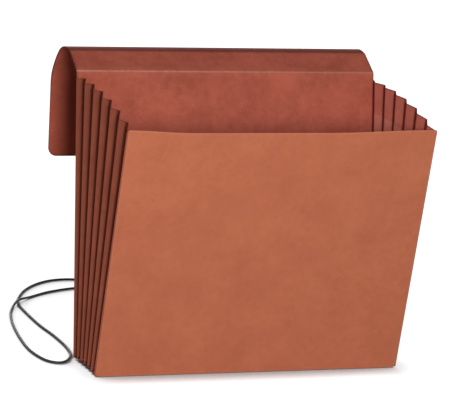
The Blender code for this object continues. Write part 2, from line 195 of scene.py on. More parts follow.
# %% [markdown]
# Some effects are shared by several finishes. With their nodes copied into each, every later change would
# have to be made many times. So each effect is built once, as a node group with named sockets, and
# each finish places the group with its own values.

# %% Node group helper


def new_group(name, inputs, outputs):
    """An empty shader node group, the sockets that it is given and the sockets of its result."""
    tree = bpy.data.node_groups.new(name, "ShaderNodeTree")
    for socket, kind, value in inputs:
        made = tree.interface.new_socket(name=socket, in_out="INPUT", socket_type=kind)
        made.default_value = value
    for socket, kind in outputs:
        tree.interface.new_socket(name=socket, in_out="OUTPUT", socket_type=kind)
    given = tree.nodes.new("NodeGroupInput")
    result = tree.nodes.new("NodeGroupOutput")
    return tree, given.outputs, result.inputs


print("node group helper ready")

# %% [markdown]
# Pulp is never even. Noise makes its soft clouds. Bits of bark and of undyed pulp show as small round
# flecks, and noise can't make those. A cell pattern can: a spot sits in the middle of a cell, and a random
# number that each cell carries says whether the cell has one.

# %% Clouds and flecks
NOISE_ROUGHNESS = 0.6
FLECK_CORE = 0.4


def noise(tree, place, scale, detail, distortion=0.0):
    node = add_node(tree, "ShaderNodeTexNoise", None,
                    {"Vector": place, "Scale": scale, "Detail": detail,
                     "Roughness": NOISE_ROUGHNESS, "Distortion": distortion})
    return node.outputs["Fac"]


def fleck_spots(tree, place, scale, radius, share):
    """A mask of small round spots in this share of the cells."""
    cells = add_node(tree, "ShaderNodeTexVoronoi", None,
                     {"Vector": place, "Scale": scale, "Randomness": 1.0})
    spot = remap(tree, cells.outputs["Distance"], (radius, radius * FLECK_CORE))
    draw = add_node(tree, "ShaderNodeSeparateColor", None, {"Color": cells.outputs["Color"]})
    chosen = calculate(tree, "LESS_THAN", draw.outputs["Red"], share)
    return calculate(tree, "MULTIPLY", spot, chosen)


print("cloud and fleck helpers ready")

# %% [markdown]
# Pressed fibre board is pulp with dye in it. It has soft clouds a few centimetres wide, smaller blotches and
# short fibres. Three noises of different size make these, each with its share in the whole, and the sum
# blends a deep dye tone into a pale one. Then the flecks go on top.
# All board and paper of the wallet has this, so it is one node group with the two tones as inputs.

# %% Node group: pressed fibre
CLOUDS = {"scale": 28.0, "detail": 3.0, "distortion": 0.3}
BLOTCHES = {"scale": 150.0, "detail": 3.0, "distortion": 0.3}
FIBRES = {"scale": 900.0, "detail": 2.0, "distortion": 1.2}
LAYER_SHARES = ((CLOUDS, 0.5), (BLOTCHES, 0.3), (FIBRES, 0.2))
BARK = {"scale": 210.0, "radius": 0.20, "share": 0.34}
BARK_TINT = (0.16, 0.035, 0.02, 1.0)
BARE_PULP = {"scale": 170.0, "radius": 0.17, "share": 0.30}
BARE_PULP_TINT = (0.62, 0.30, 0.20, 1.0)
MOTTLE_GAIN = 3.2
MOTTLE_MIDDLE = 0.5
BOARD_ROUGHNESS = (0.70, 0.86)


def build_pressed_fibre():
    tree, given, result = new_group(
        "pressed_fibre",
        [("Pale tone", "NodeSocketColor", (0.5, 0.2, 0.1, 1.0)),
         ("Deep tone", "NodeSocketColor", (0.4, 0.1, 0.05, 1.0)),
         ("Contrast", "NodeSocketFloat", 1.0),
         ("Fleck", "NodeSocketFloat", 0.5)],
        [("Color", "NodeSocketColor"), ("Roughness", "NodeSocketFloat"), ("Height", "NodeSocketFloat")])
    place = tree.nodes.new("ShaderNodeTexCoord").outputs["Object"]
    height = 0.0
    for layer, share in LAYER_SHARES:
        pattern = noise(tree, place, **layer)
        height = calculate(tree, "MULTIPLY_ADD", pattern, share, height)
    fibres = pattern
    centred = calculate(tree, "SUBTRACT", height, MOTTLE_MIDDLE)
    contrasted = calculate(tree, "MULTIPLY", centred, given["Contrast"])
    mottle = calculate(tree, "MULTIPLY_ADD", contrasted, MOTTLE_GAIN, MOTTLE_MIDDLE)
    mottle.node.use_clamp = True
    colour = mix_colours(tree, mottle, given["Deep tone"], given["Pale tone"])
    for spots, tint in ((BARK, BARK_TINT), (BARE_PULP, BARE_PULP_TINT)):
        strength = calculate(tree, "MULTIPLY", fleck_spots(tree, place, **spots), given["Fleck"])
        colour = mix_colours(tree, strength, colour, tint)
    connect(tree, colour, result["Color"])
    connect(tree, remap(tree, fibres, new=BOARD_ROUGHNESS), result["Roughness"])
    connect(tree, height, result["Height"])
    return tree


pressed_fibre = build_pressed_fibre()
print("group:", pressed_fibre.name, len(pressed_fibre.nodes), "nodes")

# %% [markdown]
# Board wears where hands and the edge of a shelf touch it: along the outside of a fold the dye rubs off and
# the paler core shows, and a score shows as a paler line. Cut edges are tinted, dark as painted shade and
# paler on the front. The hollow of a fold is painted dark as shade.
# A bevel node could find edges while it renders, but it can't tell a fold from a cut edge. So each mesh
# carries three numbers per point, one for the rim, one for the fold and one for the painted shade, which are
# 1 on the line itself and fall to 0 a little way off.
# The group breaks up rim and fold with noise, so that the wear and the edge tints come in strokes and not as
# a drawn line. The painted shade is even, so it goes straight through.

# %% Node group: edge wear and painted shade
STROKE_SCALE = 260.0
STROKE_DETAIL = 3.0
STROKE_NOISE = (0.35, 0.62)
STROKE_STRENGTH = (0.55, 1.0)


def build_edge_wear_and_shade():
    tree, given, result = new_group(
        "edge_wear_and_shade", [("Break up", "NodeSocketFloat", STROKE_SCALE)],
        [("Rim", "NodeSocketFloat"), ("Fold", "NodeSocketFloat"), ("Hollow", "NodeSocketFloat")])
    place = tree.nodes.new("ShaderNodeTexCoord").outputs["Object"]
    strokes = noise(tree, place, given["Break up"], STROKE_DETAIL)
    broken = remap(tree, strokes, STROKE_NOISE, STROKE_STRENGTH)
    for mark, output in (("rim", "Rim"), ("fold", "Fold")):
        line = add_node(tree, "ShaderNodeAttribute", {"attribute_name": mark}).outputs["Fac"]
        connect(tree, calculate(tree, "MULTIPLY", line, broken), result[output])
    # The painted shade in fold hollows and on the flap's crest is read as it is.
    shade_mask = add_node(tree, "ShaderNodeAttribute", {"attribute_name": "hollow"}).outputs["Fac"]
    connect(tree, shade_mask, result["Hollow"])
    return tree


edge_wear_and_shade = build_edge_wear_and_shade()
print("group:", edge_wear_and_shade.name, len(edge_wear_and_shade.nodes), "nodes")

# %% [markdown]
# Every board and paper finish is the two groups above with its own tones and tints. The builder mixes
# the tint of each mark over the board's colour, one after the other. Fibre board is matte, so it gets
# little gloss. The bump stays weak too: the fibres are felt more than seen.

# %% Finish builder
BOARD_GLOSS = 0.12
BOARD_BUMP = 0.12
BOARD_BUMP_DEPTH = 0.0004
FLECKS = 0.14


def new_material(name, gloss):
    """A material with this specular level, its node tree and its shader's input sockets."""
    material = bpy.data.materials.new(name)
    material.use_nodes = True
    shader = material.node_tree.nodes["Principled BSDF"]
    shader.inputs["Specular IOR Level"].default_value = gloss
    return material, material.node_tree, shader.inputs


def board_finish(name, pale, deep, mottle, rim, fold, hollow):
    """A matte fibre finish. The last three arguments each give a tint and its share where their mark is 1:
    rim, fold, and painted shade in fold hollows and on the flap's crest.
    """
    material, tree, shader = new_material(name, BOARD_GLOSS)
    stock = add_node(tree, "ShaderNodeGroup", {"node_tree": pressed_fibre},
                     {"Pale tone": (*pale, 1.0), "Deep tone": (*deep, 1.0),
                      "Contrast": mottle, "Fleck": FLECKS}).outputs
    edges = add_node(tree, "ShaderNodeGroup", {"node_tree": edge_wear_and_shade}).outputs
    colour = stock["Color"]
    for mark, (tint, share) in (("Rim", rim), ("Fold", fold), ("Hollow", hollow)):
        amount = calculate(tree, "MULTIPLY", edges[mark], share)
        colour = mix_colours(tree, amount, colour, (*tint, 1.0))
    bump = add_node(tree, "ShaderNodeBump", None,
                    {"Strength": BOARD_BUMP, "Distance": BOARD_BUMP_DEPTH, "Height": stock["Height"]})
    connect(tree, colour, shader["Base Color"])
    connect(tree, stock["Roughness"], shader["Roughness"])
    connect(tree, bump.outputs["Normal"], shader["Normal"])
    return material


print("finish builder ready")

# %% [markdown]
# The outside of the front is the palest board and the most orange. The back is redder, and its outer side,
# which is also the flap's, is darker. The gusset paper is brown outside and red inside, and low inside
# it has a paler liner. Cut edges are painted dark as shade, except on the front, where they are paler. The
# hollows of the folds are painted dark as shade as well, because the real pleats are deeper than the
# modelled ones, and on the flap the same mark paints the shade on its crest.

# %% Board and paper finishes
# Tints of painted shade: in fold hollows outside and inside, on the flap's crest and the tabs' folds, and on
# cut edges.
HOLLOW_SHADE_TINT = (0.140, 0.017, 0.006)
INNER_HOLLOW_SHADE_TINT = (0.190, 0.022, 0.009)
BOARD_SHADE_TINT = (0.070, 0.010, 0.020)
CUT_EDGE_SHADE = (0.110, 0.030, 0.024)

front_board = board_finish(
    "front_board", pale=(0.570, 0.173, 0.088), deep=(0.487, 0.139, 0.070), mottle=1.1,
    rim=((0.60, 0.24, 0.15), 0.4), fold=((0.58, 0.21, 0.125), 0.3), hollow=(HOLLOW_SHADE_TINT, 0.8))
back_board = board_finish(
    "back_board", pale=(0.570, 0.137, 0.087), deep=(0.405, 0.092, 0.055), mottle=1.2,
    rim=(CUT_EDGE_SHADE, 0.85), fold=((0.70, 0.28, 0.20), 1.0), hollow=(BOARD_SHADE_TINT, 0.8))
flap_board = board_finish(
    "flap_board", pale=(0.415, 0.094, 0.058), deep=(0.320, 0.069, 0.041), mottle=1.2,
    rim=(CUT_EDGE_SHADE, 0.85), fold=((0.62, 0.23, 0.165), 0.9), hollow=(BOARD_SHADE_TINT, 0.8))
gusset_outside = board_finish(
    "gusset_outside", pale=(0.442, 0.114, 0.066), deep=(0.345, 0.085, 0.048), mottle=1.2,
    rim=(CUT_EDGE_SHADE, 0.5), fold=((0.46, 0.15, 0.10), 0.4), hollow=(HOLLOW_SHADE_TINT, 0.95))
gusset_inside = board_finish(
    "gusset_inside", pale=(0.650, 0.175, 0.125), deep=(0.530, 0.136, 0.096), mottle=1.2,
    rim=(CUT_EDGE_SHADE, 0.7), fold=((0.60, 0.19, 0.13), 0.35), hollow=(INNER_HOLLOW_SHADE_TINT, 0.9))
gusset_liner = board_finish(
    "gusset_liner", pale=(0.720, 0.232, 0.168), deep=(0.620, 0.192, 0.138), mottle=1.0,
    rim=(CUT_EDGE_SHADE, 0.7), fold=((0.66, 0.25, 0.19), 0.35), hollow=(INNER_HOLLOW_SHADE_TINT, 0.9))
finishes = (front_board, back_board, flap_board, gusset_outside, gusset_inside, gusset_liner)
print("finishes:", [finish.name for finish in finishes])

# %% [markdown]
# The elastic has a braided cover: fine threads that cross each other round a rubber core. Two sets of
# slanting stripes, one for each way the threads run, give the braid. Stripes in space would cut across
# the cord at every bend. These run on the tube's own map, which counts metres along the cord and
# turns round it, so the braid follows each bend.

# %% Elastic finish
TUBE_MAP = "UVMap"
BRAID_TURNS = 5.0
BRAID_PER_METRE = 700.0
ELASTIC_GLOSS = 0.2
# The threads' tone is painted dark in the grooves of the braid as shade and lifted on its crowns as
# highlight.
GROOVE_SHADE = (0.012, 0.012, 0.013, 1.0)
CROWN_TONE_AND_HIGHLIGHT = (0.052, 0.052, 0.055, 1.0)
THREAD_ROUGHNESS = (0.85, 0.60)
THREAD_BUMP = 0.3
THREAD_BUMP_DEPTH = 0.0002


def braid_stripes(tree, along, around, way):
    """Stripes from -1 to 1 that wind round the cord one way or the other."""
    wound = calculate(tree, "MULTIPLY", around, way * BRAID_TURNS)
    slanted = calculate(tree, "MULTIPLY_ADD", along, BRAID_PER_METRE, wound)
    return calculate(tree, "SINE", calculate(tree, "MULTIPLY", slanted, math.tau))


def build_elastic_cover():
    material, tree, shader = new_material("elastic_cover", ELASTIC_GLOSS)
    mapped = add_node(tree, "ShaderNodeUVMap", {"uv_map": TUBE_MAP})
    split = add_node(tree, "ShaderNodeSeparateXYZ", None, {"Vector": mapped.outputs["UV"]}).outputs
    one_way, other_way = (braid_stripes(tree, split["X"], split["Y"], way) for way in (1.0, -1.0))
    relief = remap(tree, calculate(tree, "MAXIMUM", one_way, other_way), (-1.0, 1.0))
    bump = add_node(tree, "ShaderNodeBump", None,
                    {"Strength": THREAD_BUMP, "Distance": THREAD_BUMP_DEPTH, "Height": relief})
    # Painted shade in the grooves, painted highlight on the crowns.
    connect(tree, mix_colours(tree, relief, GROOVE_SHADE, CROWN_TONE_AND_HIGHLIGHT), shader["Base Color"])
    connect(tree, remap(tree, relief, new=THREAD_ROUGHNESS), shader["Roughness"])
    connect(tree, bump.outputs["Normal"], shader["Normal"])
    return material


elastic_cover = build_elastic_cover()
print("finish:", elastic_cover.name)

# %% [markdown]
# The elastic is one length of cord. It leaves the back panel through a hole, drops to the floor, runs out to
# the left in a loop that crosses itself, and comes home to the same hole, where both ends are knotted.
# A simulated rope would lie somewhere else each time a setting changes. So the route is the CAD route, point
# by point. Where the loop crosses itself, one strand is lifted over the other.

# %% Elastic: the route
CORD_RADIUS = 0.0012
BACK_LEAN = math.radians(8.9)
CORD_HOLE_HEIGHT = 0.080
FLOOR_LINE = 0.0013
CROSSING_LINE = 0.0042
STRAND_HALF = 0.0014
STRAND_END = -0.0007


def panel_frame(foot_y, lean):
    """Local X across, Y to the back and Z up a panel that leans back by this angle."""
    return Matrix.Translation((0.0, foot_y, 0.0)) @ Matrix.Rotation(-lean, 4, "X")


BACK_FRAME = panel_frame(0.0, BACK_LEAN)


def at_hole(across, behind, up=0.0):
    return BACK_FRAME @ Vector((across, behind, CORD_HOLE_HEIGHT + up))


def on_floor(*places):
    return [Vector((x, y, FLOOR_LINE)) for x, y in places]


def cord_route():
    """Out of the hole, along the floor, round the loop, over the crossing and back into the hole."""
    out = [at_hole(STRAND_HALF, STRAND_END), at_hole(STRAND_HALF, 0.006), at_hole(0.0022, 0.013, -0.003)]
    out += [Vector((0.004, 0.036, 0.050)), Vector((0.006, 0.045, 0.022)), Vector((0.008, 0.058, 0.006))]
    out += on_floor((0.011, 0.078), (0.016, 0.120), (0.018, 0.170), (0.011, 0.225), (-0.012, 0.272))
    out += on_floor((-0.046, 0.2935), (-0.071, 0.2950), (-0.094, 0.282), (-0.116, 0.2565), (-0.133, 0.2245))
    out += on_floor((-0.140, 0.2030), (-0.143, 0.1695), (-0.1445, 0.120), (-0.1430, 0.0815))
    out += on_floor((-0.1435, 0.0455), (-0.1470, 0.0175), (-0.1535, 0.000), (-0.163, -0.0125))
    out += on_floor((-0.172, -0.0125), (-0.179, 0.000), (-0.182, 0.0315), (-0.178, 0.0745))
    out += on_floor((-0.170, 0.1225), (-0.161, 0.1595), (-0.1525, 0.183))
    out += [Vector((-0.1400, 0.2040, CROSSING_LINE))]
    out += on_floor((-0.120, 0.2275), (-0.092, 0.2475), (-0.057, 0.2600), (-0.028, 0.250), (-0.011, 0.218))
    out += on_floor((-0.005, 0.165), (-0.005, 0.115), (-0.007, 0.076))
    out += [Vector((-0.007, 0.056, 0.006)), Vector((-0.006, 0.043, 0.022)), Vector((-0.004, 0.034, 0.050))]
    out += [at_hole(-0.0022, 0.012, -0.003), at_hole(-STRAND_HALF, 0.006), at_hole(-STRAND_HALF, STRAND_END)]
    return out


route = cord_route()
print("elastic route:", len(route), "points")

# %% [markdown]
# Cord bends evenly, so straight lines between the points would show as kinks. The curve goes through every
# point in the direction from the point before it to the point after it. That needs no handles to be set
# by hand. It is then cut into even steps, so that the rings of the tube lie equally close everywhere.

# %% Elastic: the curve
CORD_RINGS = 900
CURVE_STEPS = 40


def travelled(line):
    """The distance along a line from its start to each of its points."""
    return np.concatenate(([0.0], np.cumsum(np.linalg.norm(np.diff(line, axis=0), axis=1))))


def smooth_line(points, count):
    """Evenly spaced points on one smooth curve through the given ones, and its length."""
    fine = []
    for index in range(len(points) - 1):
        before = points[max(index - 1, 0)]
        start, end = points[index], points[index + 1]
        after = points[min(index + 2, len(points) - 1)]
        for step in range(CURVE_STEPS):
            t = step / CURVE_STEPS
            fine.append(0.5 * (2 * start + (end - before) * t
                               + (2 * before - 5 * start + 4 * end - after) * t * t
                               + (3 * start - before - 3 * end + after) * t * t * t))
    fine.append(points[-1])
    line = np.array([tuple(point) for point in fine])
    reach = travelled(line)
    wanted = np.linspace(0.0, reach[-1], count)
    spaced = np.stack([np.interp(wanted, reach, line[:, axis]) for axis in range(3)], axis=1)
    return spaced, float(reach[-1])


cord_line, cord_length = smooth_line(route, CORD_RINGS)
print("elastic:", round(cord_length, 3), "m")

# %% [markdown]
# A round cord is a ring drawn along a line. A curve with a bevel would do that with less code, but a mesh
# can carry the braid's map. Each ring is the last one turned as little as possible, so the braid
# doesn't twist. The first ring needs a direction to start from, and any that doesn't point along the
# cord will do.

# %% Elastic: the tube
CORD_SIDES = 12
FIRST_RING_UP = (0.0, 0.31, 0.95)


def tube_points(line, radius, sides, closed):
    """The points of every ring along a line."""
    ahead = np.roll(line, -1, axis=0) - np.roll(line, 1, axis=0)
    if not closed:
        ahead[0] = line[1] - line[0]
        ahead[-1] = line[-1] - line[-2]
    ahead /= np.linalg.norm(ahead, axis=1)[:, None]
    angles = np.linspace(0.0, math.tau, sides, endpoint=False)
    side = np.cross(ahead[0], FIRST_RING_UP)
    rings = []
    for place, way in zip(line, ahead):
        side = side - way * side.dot(way)
        side /= np.linalg.norm(side)
        other = np.cross(way, side)
        rings.append(place + radius * (np.outer(np.cos(angles), side) + np.outer(np.sin(angles), other)))
    return np.concatenate(rings)


def swept_tube(name, line, radius, sides, material, closed=False):
    """A tube along a line, with a map that counts metres along it and turns round it."""
    count = len(line)
    travel = travelled(line)
    faces = []
    maps = []
    for ring in range(count if closed else count - 1):
        here, after = ring * sides, (ring + 1) % count * sides
        low, high = travel[ring], travel[min(ring + 1, count - 1)]
        for turn in range(sides):
            right = (turn + 1) % sides
            start, end = turn / sides, (turn + 1) / sides
            faces.append((here + turn, here + right, after + right, after + turn))
            maps += [(low, start), (low, end), (high, end), (high, start)]
    if not closed:
        faces.append(tuple(reversed(range(sides))))
        faces.append(tuple(range((count - 1) * sides, count * sides)))
        maps += [(0.0, 0.5)] * sides + [(travel[-1], 0.5)] * sides
    mesh = bpy.data.meshes.new(name)
    mesh.from_pydata(tube_points(line, radius, sides, closed).tolist(), [], faces)
    mesh.uv_layers.new(name=TUBE_MAP).data.foreach_set("uv", np.array(maps, np.float32).ravel())
    mesh.shade_smooth()
    mesh.materials.append(material)
    return link(bpy.data.objects.new(name, mesh))


elastic = swept_tube("elastic", cord_line, CORD_RADIUS, CORD_SIDES, elastic_cover)
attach(elastic, "back")
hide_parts("elastic_cord")
print("elastic tube:", len(elastic.data.polygons), "faces")

# %% [markdown]
# Inside, both ends are tied in a stopper knot that can't slip through the hole. Tying it strand by strand
# would be hard to see at this size. A three-lobed knot curve has the same over-and-under look. It sits flat
# on the panel, in the room of the CAD lump.

# %% Elastic: the knot
KNOT_SCALE = 0.00150
KNOT_FLAT = 0.00115
KNOT_TUBE = 0.00115
KNOT_SQUASH = 0.8
KNOT_POINTS = 160


def knot_line():
    low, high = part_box("cord_knot")
    centre = (low + high) / 2
    turned = BACK_FRAME.to_3x3()
    line = []
    for step in range(KNOT_POINTS):
        t = math.tau * step / KNOT_POINTS
        across = KNOT_SCALE * (math.sin(t) + 2.0 * math.sin(2.0 * t))
        behind = -KNOT_FLAT * math.sin(3.0 * t)
        up = KNOT_SCALE * KNOT_SQUASH * (math.cos(t) - 2.0 * math.cos(2.0 * t))
        line.append(tuple(centre + turned @ Vector((across, behind, up))))
    return np.array(line)


knot = swept_tube("elastic_knot", knot_line(), KNOT_TUBE, CORD_SIDES, elastic_cover, closed=True)
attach(knot, "back")
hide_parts("cord_knot")
print("knot:", len(knot.data.polygons), "faces")

# %% [markdown]
# Board and paper are sheets: a surface with a thickness. Blender's Solidify modifier could thicken a plane,
# but these sheets need a soft rim at their cut edges only, and marks for the wear, so one builder
# of our own makes them all from a grid of points. First come helpers for the grid: values that lie closer
# together near both ends, a walk once round the border, and the distance to the nearest of some borders.

# %% Sheet grid
EDGE_STEPS = (0.0, 0.0005, 0.0012, 0.0025, 0.0045, 0.007)
FAR_OFF = 1.0


def graded(low, high, count, steps=EDGE_STEPS):
    """Values from low to high, evenly spaced inside and closer together near both ends."""
    inner = np.linspace(low + steps[-1], high - steps[-1], count)
    outer = np.array(steps[:-1])
    return np.concatenate([low + outer, inner, (high - outer)[::-1]])


def border_walk(rows, columns):
    """Row and column of each border point, once round."""
    walk = [(0, c) for c in range(columns)]
    walk += [(r, columns - 1) for r in range(1, rows)]
    walk += [(rows - 1, c) for c in range(columns - 2, -1, -1)]
    walk += [(r, 0) for r in range(rows - 2, 0, -1)]
    return walk


def edge_distance(grid, borders):
    """How far each grid point is from the nearest of these borders, along the sheet."""
    down = np.zeros(grid.shape[:2])
    down[1:] = np.cumsum(np.linalg.norm(np.diff(grid, axis=0), axis=2), axis=0)
    over = np.zeros(grid.shape[:2])
    over[:, 1:] = np.cumsum(np.linalg.norm(np.diff(grid, axis=1), axis=2), axis=1)
    reach = {"low": down, "high": down[-1] - down, "left": over, "right": over[:, -1:] - over}
    far = np.full(grid.shape[:2], FAR_OFF)
    for border in borders:
        far = np.minimum(far, reach[border])
    return far


print("sheet grid helpers ready")

# %% [markdown]
# A sheet has one skin on each side of the grid, and its border is closed. A border that is a real cut edge
# gets a soft round rim, pushed out a little in its middle. A border where the sheet runs on into the next
# piece stays square, so that the two pieces meet without a line. Faces come in pairs, one for each
# skin, which makes it easy to give the two skins their own finishes later.

# %% Sheet rim and faces


def rim_points(grid, walk, free, width):
    """The middle of the border, pushed out by this width where the border is a cut edge."""
    rows, columns = grid.shape[:2]
    rim = []
    for r, c in walk:
        inner = {"low": (1, c), "high": (rows - 2, c), "left": (r, 1), "right": (r, columns - 2)}
        here = {"low": r == 0, "high": r == rows - 1, "left": c == 0, "right": c == columns - 1}
        push = np.zeros(3)
        for border in free:
            if here[border]:
                out = grid[r, c] - grid[inner[border]]
                push += out / np.linalg.norm(out)
        size = np.linalg.norm(push)
        rim.append(grid[r, c] + (push / size * width if size > 0 else push))
    return np.array(rim)


def sheet_faces(rows, columns, walk):
    """The faces of both skins and of the border, in pairs whose first one belongs to the first skin."""
    step = rows * columns
    faces = []
    for r in range(rows - 1):
        for c in range(columns - 1):
            corner = r * columns + c
            quad = (corner, corner + 1, corner + columns + 1, corner + columns)
            faces.append(quad)
            faces.append(tuple(step + point for point in reversed(quad)))
    for index in range(len(walk)):
        after = (index + 1) % len(walk)
        here, there = (walk[i][0] * columns + walk[i][1] for i in (index, after))
        rim_here, rim_there = 2 * step + index, 2 * step + after
        faces.append((here, rim_here, rim_there, there))
        faces.append((rim_here, step + here, step + there, rim_there))
    return faces


print("sheet rim and face helpers ready")

# %% [markdown]
# The builder joins these helpers. It finds which way the grid faces at each point, moves half the thickness
# to either side, makes the mesh and shades it smooth except at sharp edges. Last, it writes the marks
# on the mesh as attributes, and the group of edge wear and painted shade reads them from there.

# %% Sheet builder
RIM_FADE = 0.0010
RIM_ROUND = 0.30
SHARP_ABOVE = math.radians(70.0)


def write_marks(mesh, marks, shape, walk):
    """Stores each mark on the points of both skins, and the mean of the two on the border."""
    on_border = tuple(np.array(walk).T)
    for mark, pair in marks.items():
        first, second = (np.broadcast_to(np.array(values, float), shape) for values in pair)
        border = (first[on_border] + second[on_border]) / 2
        values = np.concatenate([first.ravel(), second.ravel(), border]).astype(np.float32)
        mesh.attributes.new(mark, "FLOAT", "POINT").data.foreach_set("value", values)


def thick_sheet(name, middle, thickness, free, edge_tinted, marks, finishes):
    """A closed sheet round a grid of middle points.

    free names its cut borders, and the next argument the ones whose rim is tinted: dark as painted shade,
    or paler on the front. marks has a pair of values or arrays for each mark and finishes a pair of
    materials, for the skin that the grid faces and the other.
    """
    grid = np.array(middle, float)
    rows, columns = grid.shape[:2]
    normal = np.cross(np.gradient(grid, axis=1), np.gradient(grid, axis=0))
    normal /= np.linalg.norm(normal, axis=2)[:, :, None]
    half = normal * thickness / 2
    walk = border_walk(rows, columns)
    rim = rim_points(grid, walk, free, thickness * RIM_ROUND)
    points = np.concatenate([(grid + half).reshape(-1, 3), (grid - half).reshape(-1, 3), rim])
    mesh = bpy.data.meshes.new(name)
    mesh.from_pydata(points.tolist(), [], sheet_faces(rows, columns, walk))
    mesh.shade_smooth()
    mesh.set_sharp_from_angle(angle=SHARP_ABOVE)
    for finish in finishes:
        mesh.materials.append(finish)
    mesh.polygons.foreach_set("material_index", [index % 2 for index in range(len(mesh.polygons))])
    near = np.exp(-(edge_distance(grid, edge_tinted) / RIM_FADE) ** 2)
    write_marks(mesh, {"rim": (near, near), **marks}, (rows, columns), walk)
    return link(bpy.data.objects.new(name, mesh))


print("sheet builder ready")

# %% [markdown]
# The board pieces are flat or curled in one direction only, so each is a path seen from the side, drawn out
# across the wallet's width. The path is a line with corners, and each corner is rounded by a short curve:
# very short at a score that was pressed into the board, long where the flap rolls over.

# %% Side paths
ROUND_STEPS = 8
SAME_PLACE = 1e-6


def toward(start, end, distance):
    """The point at this distance from start on the way to end."""
    return start + (end - start) / np.linalg.norm(end - start) * distance


def rounding(start, corner, end, t):
    """A point on the curve that leaves one side of a corner at t = 0 and meets the other at t = 1."""
    return (1 - t) ** 2 * start + 2 * t * (1 - t) * corner + t * t * end


def straight(start, end, spacing):
    """Points after start up to end, about this far apart."""
    length = np.linalg.norm(end - start)
    if length < SAME_PLACE:
        return []
    count = max(1, round(length / spacing))
    return [start + (end - start) * step / count for step in range(1, count + 1)]


def rounded_path(corners, rounds, spacing):
    """Points (y, z) along a line whose inner corners are rounded by curves that start this far from them."""
    corners = [np.array(corner, float) for corner in corners]
    points = [corners[0]]
    for before, corner, after, (reach_in, reach_out) in zip(corners, corners[1:], corners[2:], rounds):
        start = toward(corner, before, reach_in)
        end = toward(corner, after, reach_out)
        points += straight(points[-1], start, spacing)
        points += [rounding(start, corner, end, step / ROUND_STEPS) for step in range(1, ROUND_STEPS + 1)]
    points += straight(points[-1], corners[-1], spacing)
    return np.array(points)


print("side path helpers ready")

# %% [markdown]
# Drawing the path out gives a grid with one column for each place across. A round corner makes the sheet
# shorter near its sides, so there the same number of points is spread over a shorter way. The builder also
# takes a bow, the place of a score that shows as a paler line, and painted shade along the path. The paler
# line fades towards the right side, as it does in the picture.

# %% Board builder
BOARD_WIDTH = 0.2985
BOARD_THICK = 0.0008
ACROSS_COUNT = 46
SCORE_FADE = 0.45


def corner_cut(across, radius):
    """How much shorter the sheet is at this distance from its middle, because of a round corner."""
    past = abs(across) - (BOARD_WIDTH / 2 - radius)
    if past <= 0.0:
        return 0.0
    return radius - math.sqrt(max(0.0, radius * radius - past * past))


def board_sheet(name, path, free, finishes, low_corner=0.0, high_corner=0.0,
                bow=None, score=None, shade_along=None):
    """Board drawn out across the wallet from a side path, with round corners at either end."""
    travel = travelled(path)
    stations = set(travel.tolist())
    if "low" in free:
        stations |= set(EDGE_STEPS[1:-1])
    if "high" in free:
        stations |= {travel[-1] - step for step in EDGE_STEPS[1:-1]}
    stations = np.array(sorted(stations))
    columns = graded(-BOARD_WIDTH / 2, BOARD_WIDTH / 2, ACROSS_COUNT)
    grid = np.zeros((len(stations), len(columns), 3))
    for c, across in enumerate(columns):
        low, high = corner_cut(across, low_corner), corner_cut(across, high_corner)
        moved = low + stations * (travel[-1] - low - high) / travel[-1]
        grid[:, c, 0] = across
        grid[:, c, 1] = np.interp(moved, travel, path[:, 0])
        grid[:, c, 2] = np.interp(moved, travel, path[:, 1])
        if bow is not None:
            grid[:, c] += bow(across, moved)
    # The score is a paler line that fades towards the right.
    score_paleness = np.zeros(len(stations))
    if score is not None:
        place, width = score
        score_paleness = np.exp(-((stations - place) / width) ** 2)
    fold = np.outer(score_paleness, np.linspace(1.0, SCORE_FADE, len(columns)))
    # Painted shade along the path, on the flap's crest.
    shade_mask = shade_along(stations)[:, None] if shade_along else 0.0
    marks = {"fold": (fold, 0.0), "hollow": (shade_mask, 0.0)}
    return thick_sheet(name, grid, BOARD_THICK, free, free, marks, finishes)


print("board builder ready")

# %% [markdown]
# The front panel stands by itself between the gussets, and its free upper edge bows forward. That is plain
# in the picture: the edge dips in its middle, seen from above. The CAD panel has the same bow in coarse
# steps, and here it is smooth. It fades to nothing at the sides, where the gussets hold the board,
# and towards the foot, and it fades faster on the left than on the right.

# %% Front panel
FOOT_SPAN = 0.061
FRONT_LEAN = math.radians(11.2)
FRONT_HEIGHT = 0.2413
FRONT_SPACING = 0.006
FOOT_CORNER = 0.004
UPPER_CORNER = 0.0015
FOOT_RIM = 0.0004
FRONT_BOW = 0.0066
BOW_START = 0.020
BOW_POWER = 1.5
BOW_FLANK_LEFT = 0.40
BOW_FLANK_RIGHT = 0.75
FRONT_FRAME = panel_frame(-FOOT_SPAN, -FRONT_LEAN)
FRONT_OUT = np.array(FRONT_FRAME.to_3x3() @ Vector((0.0, -1.0, 0.0)))


def eased(share):
    """0 to 1 along a smooth step that starts and ends level."""
    share = np.clip(share, 0.0, 1.0)
    return share * share * (3.0 - 2.0 * share)


def bow_depth(across, up):
    """How far the front bows forward, by the place across it and the height on it."""
    flank = BOW_FLANK_LEFT if across < 0.0 else BOW_FLANK_RIGHT
    side = eased((1.0 - 2.0 * abs(across) / BOARD_WIDTH) / flank)
    rise = np.clip((up - BOW_START) / (FRONT_HEIGHT - BOW_START), 0.0, 1.0)
    return FRONT_BOW * side * rise ** BOW_POWER


def front_bow(across, up):
    return np.outer(bow_depth(across, up), FRONT_OUT)


def panel_point(panel, up):
    """The point (y, z) at this height on the middle of a panel."""
    place = panel @ Vector((0.0, 0.0, up))
    return place.y, place.z


front_ends = [panel_point(FRONT_FRAME, up) for up in (FOOT_RIM, FRONT_HEIGHT)]
front_path = rounded_path(front_ends, [], FRONT_SPACING)
front_sheet = board_sheet("front_sheet", front_path, ("low", "high", "left", "right"),
                          (front_board, back_board), FOOT_CORNER, UPPER_CORNER, front_bow)
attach(front_sheet, "front")
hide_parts("front_panel")
print("front:", len(front_sheet.data.polygons), "faces")

